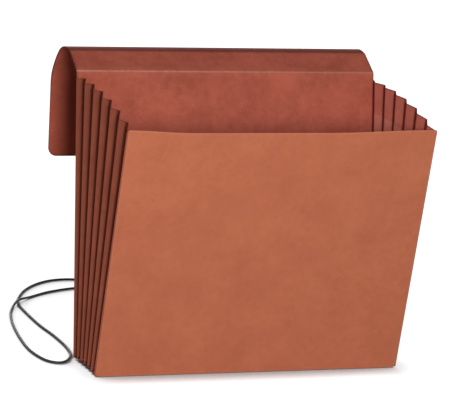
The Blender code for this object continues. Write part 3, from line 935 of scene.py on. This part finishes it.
# %% [markdown]
# The back panel and the flap are one sheet of board. The flap begins at a score, rises and rolls over to the
# back. The CAD model cuts it into strips that hinge on each other. Their corners, seen from the side, are
# worked out once from the strips' lengths and from the angle between them, and both the panel and the flap
# are drawn from them.

# %% Flap line
BACK_HEIGHT = 0.2663
RISER_ANGLE = math.radians(58.0)
ROLL_ANGLE = math.radians(21.0)
FLAP_STRIPS = (("flap_riser", 0.027), ("flap_roll_1", 0.012), ("flap_roll_2", 0.012), ("flap_roll_3", 0.012),
               ("flap_slope", 0.022), ("flap_roll_4", 0.012), ("flap_apron", 0.070))


def flap_corners():
    """The line where each strip of the flap begins, and the flap's free end, as (y, z)."""
    place = np.array(panel_point(BACK_FRAME, BACK_HEIGHT))
    corners = [place]
    angle = RISER_ANGLE
    for strip, length in FLAP_STRIPS:
        place = place + length * np.array((math.sin(angle), math.cos(angle)))
        corners.append(place)
        angle += ROLL_ANGLE
    return corners


corners = flap_corners()
middles = [(start + end) / 2 for start, end in zip(corners, corners[1:])]
print("flap:", len(FLAP_STRIPS), "strips,", round(1000 * sum(length for strip, length in FLAP_STRIPS)), "mm")

# %% [markdown]
# A score is a line pressed into the board so that it bends there, and in the picture it shows as a thin pale
# line. The panel and the lower half of the flap's first strip are one sheet here, drawn with its bend at the
# score. The hole for the elastic is cut last, with a boolean: it could be woven into the grid, but one cut
# leaves the rest of the grid regular.

# %% Back panel
SCORE_ROUND = 0.0012
SCORE_LINE = 0.0008
BACK_SPACING = 0.007
HOLE_RADIUS = 0.0033
HOLE_SIDES = 24
CUTTER_DEPTH = 0.02


def cut_hole(obj, centre, axis, radius):
    """Cuts a round hole through a sheet and keeps the result as its mesh."""
    bpy.ops.mesh.primitive_cylinder_add(vertices=HOLE_SIDES, radius=radius, depth=CUTTER_DEPTH,
                                        location=centre)
    cutter = bpy.context.object
    cutter.rotation_mode = "QUATERNION"
    cutter.rotation_quaternion = axis.to_track_quat("Z", "Y")
    cut = obj.modifiers.new("hole", "BOOLEAN")
    cut.operation = "DIFFERENCE"
    cut.solver = "EXACT"
    cut.object = cutter
    bpy.context.view_layer.update()
    graph = bpy.context.evaluated_depsgraph_get()
    result = bpy.data.meshes.new_from_object(obj.evaluated_get(graph), depsgraph=graph)
    obj.modifiers.clear()
    obj.data = result
    result.set_sharp_from_angle(angle=SHARP_ABOVE)
    bpy.data.objects.remove(cutter, do_unlink=True)


back_foot = np.array(panel_point(BACK_FRAME, FOOT_RIM))
back_path = rounded_path([back_foot, corners[0], middles[0]], [(SCORE_ROUND, SCORE_ROUND)], BACK_SPACING)
back_sheet = board_sheet("back_sheet", back_path, ("low", "left", "right"), (back_board, flap_board),
                         FOOT_CORNER, score=(BACK_HEIGHT - FOOT_RIM, SCORE_LINE))
cut_hole(back_sheet, at_hole(0.0, 0.0), BACK_FRAME.to_3x3() @ Vector((0.0, 1.0, 0.0)), HOLE_RADIUS)
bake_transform(back_sheet)
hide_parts("back_panel")
print("back:", len(back_sheet.data.polygons), "faces")

# %% [markdown]
# Each piece of the flap runs from the middle of one strip to the middle of the next along a smooth curve
# over the hinge between them, so that the roll stays round.
# The first bend is tight: it is the edge of the crest. From there the crest is painted dark as shade, which
# fades out a few centimetres behind it. That painted shade is a mark on the mesh, so it stays on the board.
# The free end hangs a little lower than the CAD strip.

# %% Flap
APRON_CORNER = 0.008
APRON_EXTRA = 0.0035
FLAP_SPACING = 0.004
CREST_ROUND = 0.0018
# How dark the painted shade on the crest is, and how far behind the crest it fades out.
CREST_SHADE_DEPTH = 0.72
CREST_FADE = 0.034


def painted_crest_shade(index):
    """Painted shade along one piece of the flap: full from the crest's first bend on, and gone some way
    behind it.
    """
    lengths = [length for strip, length in FLAP_STRIPS]
    passed = -lengths[0] / 2
    if index > 1:
        passed = sum(lengths[1:index - 1]) + lengths[index - 1] / 2

    def mark(along):
        past = along + passed
        return CREST_SHADE_DEPTH * eased(past / CREST_ROUND) * (1.0 - eased(past / CREST_FADE))

    return mark


def add_flap_piece(index):
    """The stretch of the flap over the hinge between strip index - 1 and strip index."""
    before, after = FLAP_STRIPS[index - 1][0], FLAP_STRIPS[index][0]
    last = index == len(FLAP_STRIPS) - 1
    first = middles[index - 1]
    end = toward(corners[-1], corners[-2], -APRON_EXTRA) if last else middles[index]
    reach = float(np.linalg.norm(corners[index] - first))
    reaches = (reach, reach if last else float(np.linalg.norm(end - corners[index])))
    if index == 1:
        reaches = (CREST_ROUND, CREST_ROUND)
    path = rounded_path([first, corners[index], end], [reaches], FLAP_SPACING)
    free = ("left", "right", "high") if last else ("left", "right")
    piece = board_sheet("flap_bend_%d" % index, path, free, (back_board, flap_board),
                        high_corner=APRON_CORNER if last else 0.0, shade_along=painted_crest_shade(index))
    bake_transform(piece)
    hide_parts(*([before, after] if index == 1 else [after]))
    return piece


flap_pieces = [add_flap_piece(index) for index in range(1, len(FLAP_STRIPS))]
print("flap:", [piece.name for piece in flap_pieces])

# %% [markdown]
# Each gusset is one strip of paper, folded like an accordion and glued to the panels by its two edges. All
# its folds point at one line below the floor, where the planes of the panels meet, so each leaf between
# two folds stays flat while the wallet shuts. Freely placed folds would look the same at rest, but their
# leaves would tear or cross. Even folds stand out and odd ones go in. The inner folds start higher, to
# leave room for the bottom, and on the left their tops are raised a little, as in the picture.

# %% Gusset folds
PLEATS = 6
LAST_FOLD = 2 * PLEATS
LEAF_THICK = 0.0004
LEAF_ANGLE = math.radians(21.0)
SEAM_GAP = 0.0003
GUSSET_PROUD = 0.0006
GUSSET_LIFT = 0.0008
GUSSET_DROP_BACK = 0.007
GUSSET_DROP_FRONT = 0.0015
INNER_FOLD_RISE = 0.0022
TAB_FACE = BOARD_THICK / 2 + SEAM_GAP + LEAF_THICK
RIDGE_X = BOARD_WIDTH / 2 + GUSSET_PROUD
HALF_PITCH = (BACK_LEAN + FRONT_LEAN) / LAST_FOLD


def fan_apex():
    """Where the planes of both panels' inner tabs meet, below the floor."""
    back_point = BACK_FRAME @ Vector((0.0, -TAB_FACE, 0.0))
    front_point = FRONT_FRAME @ Vector((0.0, TAB_FACE, 0.0))
    rise = (front_point.y - back_point.y + front_point.z * math.tan(FRONT_LEAN)
            + back_point.z * math.tan(BACK_LEAN))
    height = rise / (math.tan(BACK_LEAN) + math.tan(FRONT_LEAN))
    return Vector((0.0, back_point.y + (height - back_point.z) * math.tan(BACK_LEAN), height))


APEX = fan_apex()
FOOT_RADIUS = (GUSSET_LIFT - APEX.z) / math.cos(max(BACK_LEAN, FRONT_LEAN))
FOOT_LEAF = FOOT_RADIUS * math.sin(HALF_PITCH) / math.cos(LEAF_ANGLE)
VALLEY_INSET = math.atan(math.tan(LEAF_ANGLE) * math.sin(HALF_PITCH))
BACK_TOP = -APEX.z / math.cos(BACK_LEAN) + BACK_HEIGHT - GUSSET_DROP_BACK
FRONT_TOP = -APEX.z / math.cos(FRONT_LEAN) + FRONT_HEIGHT - GUSSET_DROP_FRONT


def fold_line(side, index):
    """Foot and top of one fold on the middle of the paper. side is -1 on the left and 1 on the right."""
    angle = BACK_LEAN - index * HALF_PITCH
    along = Vector((0.0, math.sin(angle), math.cos(angle)))
    start = FOOT_RADIUS
    top = BACK_TOP + (FRONT_TOP - BACK_TOP) * index / LAST_FOLD
    skin = LEAF_THICK / 2
    if index % 2:
        along = along * math.cos(VALLEY_INSET) - Vector((side * math.sin(VALLEY_INSET), 0.0, 0.0))
        start = FOOT_RADIUS + FOOT_LEAF
        top += INNER_FOLD_RISE if side < 0 else 0.0
        skin = -skin
    apex = APEX + Vector((side * (RIDGE_X + skin), 0.0, 0.0))
    return np.array((tuple(apex + along * start), tuple(apex + along * top)))


def leaf_name(word, index):
    return "%s_pleat_%d_%s_leaf" % (word, index // 2 + 1, "front" if index % 2 else "rear")


print("gusset apex:", [round(1000 * c, 1) for c in APEX], "mm")

# %% [markdown]
# A piece of gusset runs from the middle of one leaf over a fold to the middle of the next leaf. Seen from
# above that is a corner, and the fold rounds it a little: sharp folds in paper look like cut metal. Along
# this section lie the marks: the crown of the fold is rubbed, and its hollow is painted dark as shade for
# some way into both leaves. Outside, the picture's hollows are wide and dark, and inside they are narrow.

# %% Gusset sections
FOLD_ROUND = 0.0009
FOLD_STEPS = 6
LEAF_POINTS = 8
CROWN_STEPS = 1.8
# How far the painted shade reaches from the hollow of a fold, outside and inside.
OUTER_SHADE_REACH = (0.30, 0.95)
INNER_SHADE_REACH = (0.05, 0.36)


def section(first, corner, last):
    """Points across a fold from one leaf's middle to the next, with the fold rounded."""
    start = toward(corner, first, FOLD_ROUND)
    end = toward(corner, last, FOLD_ROUND)
    points = [first + (start - first) * step / LEAF_POINTS for step in range(LEAF_POINTS)]
    points += [rounding(start, corner, end, step / FOLD_STEPS) for step in range(FOLD_STEPS + 1)]
    points += [end + (last - end) * step / LEAF_POINTS for step in range(1, LEAF_POINTS + 1)]
    return points


def fold_marks(hollow_reach, reaches):
    """Wear on the crown of a fold and painted shade in its hollow, across the points of a section.

    The first argument says where the painted shade starts to fade and where it ends, as shares of a half
    leaf, and reaches shortens it before and after the fold.
    """
    share = np.arange(LEAF_POINTS, 0, -1) / LEAF_POINTS
    away = np.concatenate([share / reaches[0], np.zeros(FOLD_STEPS + 1), share[::-1] / reaches[1]])
    fade, gone = hollow_reach
    hollow = 1.0 - eased((away - fade) / (gone - fade))
    steps = np.arange(len(away)) - (len(away) - 1) / 2
    crown = np.exp(-(steps / CROWN_STEPS) ** 2)
    return crown[None, :], hollow[None, :]


print("gusset section:", 2 * LEAF_POINTS + FOLD_STEPS + 1, "points")

# %% [markdown]
# Stacking sections from the foot to the top gives the grid of one piece. Where the fold stands out, its
# crown is outside and its hollow inside, and where it goes in it is the other way round. On the left the
# grid's first skin is the outer one, and on the right it is the inner one, so marks and finishes swap.
# The paler liner covers the inner skin from the foot up to an edge that shows in the picture, and one row
# of the grid lies on that edge, so that it is straight.

# %% Gusset pieces
GUSSET_ROWS = 14
ROW_STEPS = (0.0, 0.002, 0.005, 0.010, 0.020)
LINER_EDGE = 0.882
LINER_SLOT = 2


def add_liner(piece, rows, columns, side):
    """Gives the inner skin the paler liner, from the foot up to the liner's edge."""
    piece.data.materials.append(gusset_liner)
    inner = 1 if side < 0 else 0
    lined = int(np.searchsorted(rows, LINER_EDGE)) * (columns - 1)
    for pair in range(lined):
        piece.data.polygons[2 * pair + inner].material_index = LINER_SLOT


def folded_piece(name, lines, free, side, stands_out, reaches=(1.0, 1.0), shift=None, edge_tinted=("high",)):
    """Paper over one fold, between three lines that each have a foot and a top."""
    rows = graded(0.0, 1.0, GUSSET_ROWS, ROW_STEPS)
    rows = np.sort(np.append(rows, LINER_EDGE))
    grid = []
    for t in rows:
        points = section(*(foot + (top - foot) * t for foot, top in lines))
        grid.append([point + shift(point) if shift else point for point in points])
    # The hollow side of the fold gets the painted shade, the crown side the wear.
    crown, hollow = fold_marks(INNER_SHADE_REACH if stands_out else OUTER_SHADE_REACH, reaches)
    crown_skin = {"fold": crown, "hollow": 0.0}
    hollow_skin = {"fold": 0.0, "hollow": hollow}
    outside, inside = (crown_skin, hollow_skin) if stands_out else (hollow_skin, crown_skin)
    skins = (outside, inside)
    finishes = (gusset_outside, gusset_inside)
    if side > 0:
        skins = skins[::-1]
        finishes = finishes[::-1]
    marks = {mark: (skins[0][mark], skins[1][mark]) for mark in ("fold", "hollow")}
    piece = thick_sheet(name, grid, LEAF_THICK, free, edge_tinted, marks, finishes)
    add_liner(piece, rows, len(grid[0]), side)
    return piece


print("gusset piece builder ready")

# %% [markdown]
# For a piece over a fold, the way across the fold is worked out on both sides, square to the fold's line,
# and the piece's place is baked into its mesh.


def bend_at_fold(piece, lines):
    """Works out the way across the fold on both sides, square to the fold's line, and bakes the piece's
    place into its mesh.
    """
    first, corner, last = lines
    along = (corner[1] - corner[0]) / np.linalg.norm(corner[1] - corner[0])
    middle = corner.mean(axis=0)
    for line in (first, last):
        away = line.mean(axis=0) - middle
        away = away - along * away.dot(along)
    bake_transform(piece)


# %% [markdown]
# The first and the last stretch of the gusset are tabs, glued flat on the inner faces of the panels. Lying
# on the board, a tab would throw a thin shadow that the picture doesn't have, so its inner edge is sunk
# until it is flush. On the back panel, where it shows, it also takes the finish of the board. On the front
# panel it follows the bow, so that it stays on the board.

# %% Gusset tabs
TAB_WIDTH = 0.014
TAB_SINK = 0.00064
TAB_REACH = 0.4


def tab_line(side, panel, face, ridge):
    """The inner edge of the glued tab beside a panel's outermost fold, and that fold in the tab's plane."""
    back = np.array(panel.to_3x3() @ Vector((0.0, -face, 0.0)))
    corner = ridge + back * LEAF_THICK / 2
    edge = corner - np.array((side * TAB_WIDTH, 0.0, 0.0)) + back * TAB_SINK
    return edge, corner


def bowed_tab(point):
    """How far a point of the tab on the front moves with the front's bow, so that it stays on the board."""
    local = FRONT_FRAME.inverted() @ Vector(point)
    if local.y > TAB_FACE + LEAF_THICK:
        return np.zeros(3)
    return FRONT_OUT * float(bow_depth(local.x, local.z))


def match_panel(piece, panel, finish):
    """Gives the glued tab the finish of the board that it lies on."""
    piece.data.materials.append(finish)
    last = len(piece.data.materials) - 1
    turned = panel.inverted()
    for face in piece.data.polygons:
        if abs((turned @ face.center).y) < TAB_FACE + LEAF_THICK / 4:
            face.material_index = last


print("tab:", round(1000 * TAB_WIDTH), "mm wide")

# %% [markdown]
# Now both gussets are put together from back to front: the tab on the back panel with the first half leaf,
# one piece for each fold, and the tab on the front panel. A tree of joints can't close the loop that two
# gussets make, so on the right the fold next to the front panel has no joint. There the leaf ends at
# the fold and the tab is a piece of its own, which rides on the front. That end of the leaf and the tab's
# outer edge are marked as cut edges, and so are the tops of all pieces after the first.

# %% Both gussets


def add_middle_folds(side, word, folds, halves):
    """The pieces over all folds between the first and the last."""
    made = []
    for index in range(1, LAST_FOLD):
        ends_here = side > 0 and index == LAST_FOLD - 1
        lines = (halves[index - 1], folds[index], folds[LAST_FOLD] if ends_here else halves[index])
        free = ("low", "high", "right") if ends_here else ("low", "high")
        # The tinted borders are cut edges painted dark as shade.
        edge_tinted = ("high", "right") if ends_here else ("high",)
        piece = folded_piece("%s_fold_%d" % (word, index), lines, free, side, index % 2 == 0, edge_tinted=edge_tinted)
        bend_at_fold(piece, lines)
        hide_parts(leaf_name(word, index))
        made.append(piece)
    return made


def add_gusset(side, word):
    folds = [fold_line(side, index) for index in range(LAST_FOLD + 1)]
    halves = [(before + after) / 2 for before, after in zip(folds, folds[1:])]
    edge, corner = tab_line(side, BACK_FRAME, -1, folds[0])
    lines = (edge, corner, halves[0])
    first = folded_piece("%s_fold_0" % word, lines, ("low", "high", "left"), side, True,
                         (TAB_REACH, 1.0), edge_tinted=())
    match_panel(first, BACK_FRAME, back_board)
    bend_at_fold(first, lines)
    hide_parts("%s_back_tab" % word, leaf_name(word, 0))
    made = [first] + add_middle_folds(side, word, folds, halves)
    edge, corner = tab_line(side, FRONT_FRAME, 1, folds[LAST_FOLD])
    if side < 0:
        lines = (halves[-1], corner, edge)
        last = folded_piece("%s_fold_%d" % (word, LAST_FOLD), lines, ("low", "high", "right"), side, True,
                            (1.0, TAB_REACH), bowed_tab)
        bend_at_fold(last, lines)
    else:
        lines = (corner, (corner + edge) / 2, edge)
        last = folded_piece("%s_tab" % word, lines, ("low", "high", "left", "right"), side, False,
                            shift=bowed_tab, edge_tinted=("high", "left"))
        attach(last, "front")
    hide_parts("%s_front_tab" % word)
    made.append(last)
    return made


gusset_pieces = add_gusset(-1, "left") + add_gusset(1, "right")
print("gussets:", len(gusset_pieces), "pieces")

# %% [markdown]
# The bottom of the wallet is folded from the same paper. Its flat leaves are right as the CAD model has
# them, deep inside and under the wallet. They could be rebuilt like the gussets, but nobody would see the
# difference, so they stay and only get the paper's finish.

# %% Bottom leaves
base_nodes = [name for name in frame["nodes"] if name.startswith("base_")]
for name in base_nodes:
    node = frame["nodes"][name]
    node.data.materials.clear()
    node.data.materials.append(gusset_inside)
print("bottom:", len(base_nodes), "leaves and tabs")

# %% [markdown]
# The picture was taken on white paper in a white room. Making the room bright enough to look white would
# flood the wallet with light and wash out its tones. So the room lights the wallet only dimly, and rays
# that show the room itself, straight to the camera or by way of gloss or glass, see it white.

# %% Room
WORLD_LIGHT = 0.13
WHITE = (1.0, 1.0, 1.0, 1.0)


def seen_directly(tree):
    """1 for rays that show the background: from the camera, or by way of gloss or glass."""
    rays = tree.nodes.new("ShaderNodeLightPath").outputs
    bounced = calculate(tree, "MAXIMUM", rays["Is Glossy Ray"], rays["Is Transmission Ray"])
    return calculate(tree, "MAXIMUM", rays["Is Camera Ray"], bounced)


def add_room():
    world = bpy.data.worlds.new("white_room")
    world.use_nodes = True
    tree = world.node_tree
    background = tree.nodes["Background"].inputs
    background["Color"].default_value = WHITE
    connect(tree, remap(tree, seen_directly(tree), new=(WORLD_LIGHT, 1.0)), background["Strength"])
    bpy.context.scene.world = world


add_room()
print("room: light", WORLD_LIGHT)

# %% [markdown]
# The floor is pale paper that catches the shadow. Left alone it would come out grey, so it glows, again only
# for rays that show it directly. The glow rises to full white away from the wallet, which hides where
# the floor ends. Two ambient occlusion nodes hold the glow back. One has a short reach and makes the
# thin dark line where the wallet touches the floor. Its direction leans to the back, so that the floor
# in front of the wallet darkens most, as in the picture. The other has a long reach and shuts off the
# glow under the wallet, where it would shine through the gaps of the bottom.

# %% Floor
FLOOR_SIZE = 40.0
FLOOR_LEVEL = -0.0003
FLOOR_TONE = (0.50, 0.50, 0.50, 1.0)
FLOOR_GLOW = (0.92, 1.0)
GLOW_RISE = (0.30, 1.00)
CONTACT_REACH = 0.028
CONTACT_LEAN = Vector((-0.2, 0.5, 1.0)).normalized()
COVER_REACH = 0.50
COVER_RANGE = (0.32, 0.46)
OCCLUSION_SAMPLES = 16


def openness(tree, reach, inputs=None):
    """How open the floor is to its surroundings within this reach, from 0 to 1."""
    node = add_node(tree, "ShaderNodeAmbientOcclusion", {"samples": OCCLUSION_SAMPLES},
                    {"Distance": reach, **(inputs or {})})
    return node.outputs["AO"]


def floor_glow(tree):
    """How strongly the floor glows at each place."""
    place = tree.nodes.new("ShaderNodeTexCoord").outputs["Object"]
    away = add_node(tree, "ShaderNodeVectorMath", {"operation": "LENGTH"}, {0: place}).outputs["Value"]
    level = remap(tree, away, GLOW_RISE, FLOOR_GLOW, "SMOOTHSTEP")
    leaning = add_node(tree, "ShaderNodeCombineXYZ", None, dict(zip("XYZ", CONTACT_LEAN)))
    contact = openness(tree, CONTACT_REACH, {"Normal": leaning.outputs["Vector"]})
    uncovered = remap(tree, openness(tree, COVER_REACH), COVER_RANGE, curve="SMOOTHSTEP")
    shaded = calculate(tree, "MULTIPLY", contact, uncovered)
    glow = calculate(tree, "MULTIPLY", level, shaded)
    return calculate(tree, "MULTIPLY", seen_directly(tree), glow)


def add_floor():
    bpy.ops.mesh.primitive_plane_add(size=FLOOR_SIZE, location=(0.0, 0.0, FLOOR_LEVEL))
    floor = bpy.context.object
    floor.name = "floor"
    material, tree, shader = new_material("white_paper", 0.0)
    shader["Base Color"].default_value = FLOOR_TONE
    shader["Roughness"].default_value = 1.0
    shader["Emission Color"].default_value = WHITE
    connect(tree, floor_glow(tree), shader["Emission Strength"])
    floor.data.materials.append(material)
    floor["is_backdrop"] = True
    return floor


floor = add_floor()
print("floor:", floor.name, FLOOR_SIZE, "m wide")

# %% [markdown]
# The main light stood low in front, a little to the left of the wallet: the front and the inside of the back
# are bright, and behind the back panel there is a deep shadow. One soft lamp gives that. A second, wide
# lamp keeps the back readable from the other side. It stands straight behind, because a lamp at an angle
# would light up the side edges in the picture. Each lamp is a disk that faces the wallet.

# %% Lamps
LAMP_TARGET = Vector((0.0, -0.02, 0.13))
LAMPS = ({"name": "front_lamp", "power": 22.4, "size": 0.45, "place": Vector((-0.42, -1.72, 0.56))},
         {"name": "rear_lamp", "power": 85.0, "size": 1.2, "place": Vector((0.4, 4.2, 0.9))})


def add_lamp(name, power, size, place):
    lamp = bpy.data.lights.new(name, "AREA")
    lamp.energy = power
    lamp.shape = "DISK"
    lamp.size = size
    obj = link(bpy.data.objects.new(name, lamp))
    obj.location = place
    obj.rotation_mode = "QUATERNION"
    obj.rotation_quaternion = (LAMP_TARGET - place).to_track_quat("-Z", "Y")


for lamp in LAMPS:
    add_lamp(**lamp)
bpy.context.scene.view_settings.view_transform = "Standard"
print("lamps:", {lamp["name"]: lamp["power"] for lamp in LAMPS}, "W")

# %% [markdown]
# Last, the sizes are printed: the box of the CAD model and the box of the dressed one.

# %% Sizes and finish
low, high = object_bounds()
sizes = {"cad": [list(cad_low), list(cad_high)], "visual": [list(low), list(high)]}
for name, box in sizes.items():
    print("size of", name, [round(1000 * (end - start), 1) for start, end in zip(*box)], "mm")
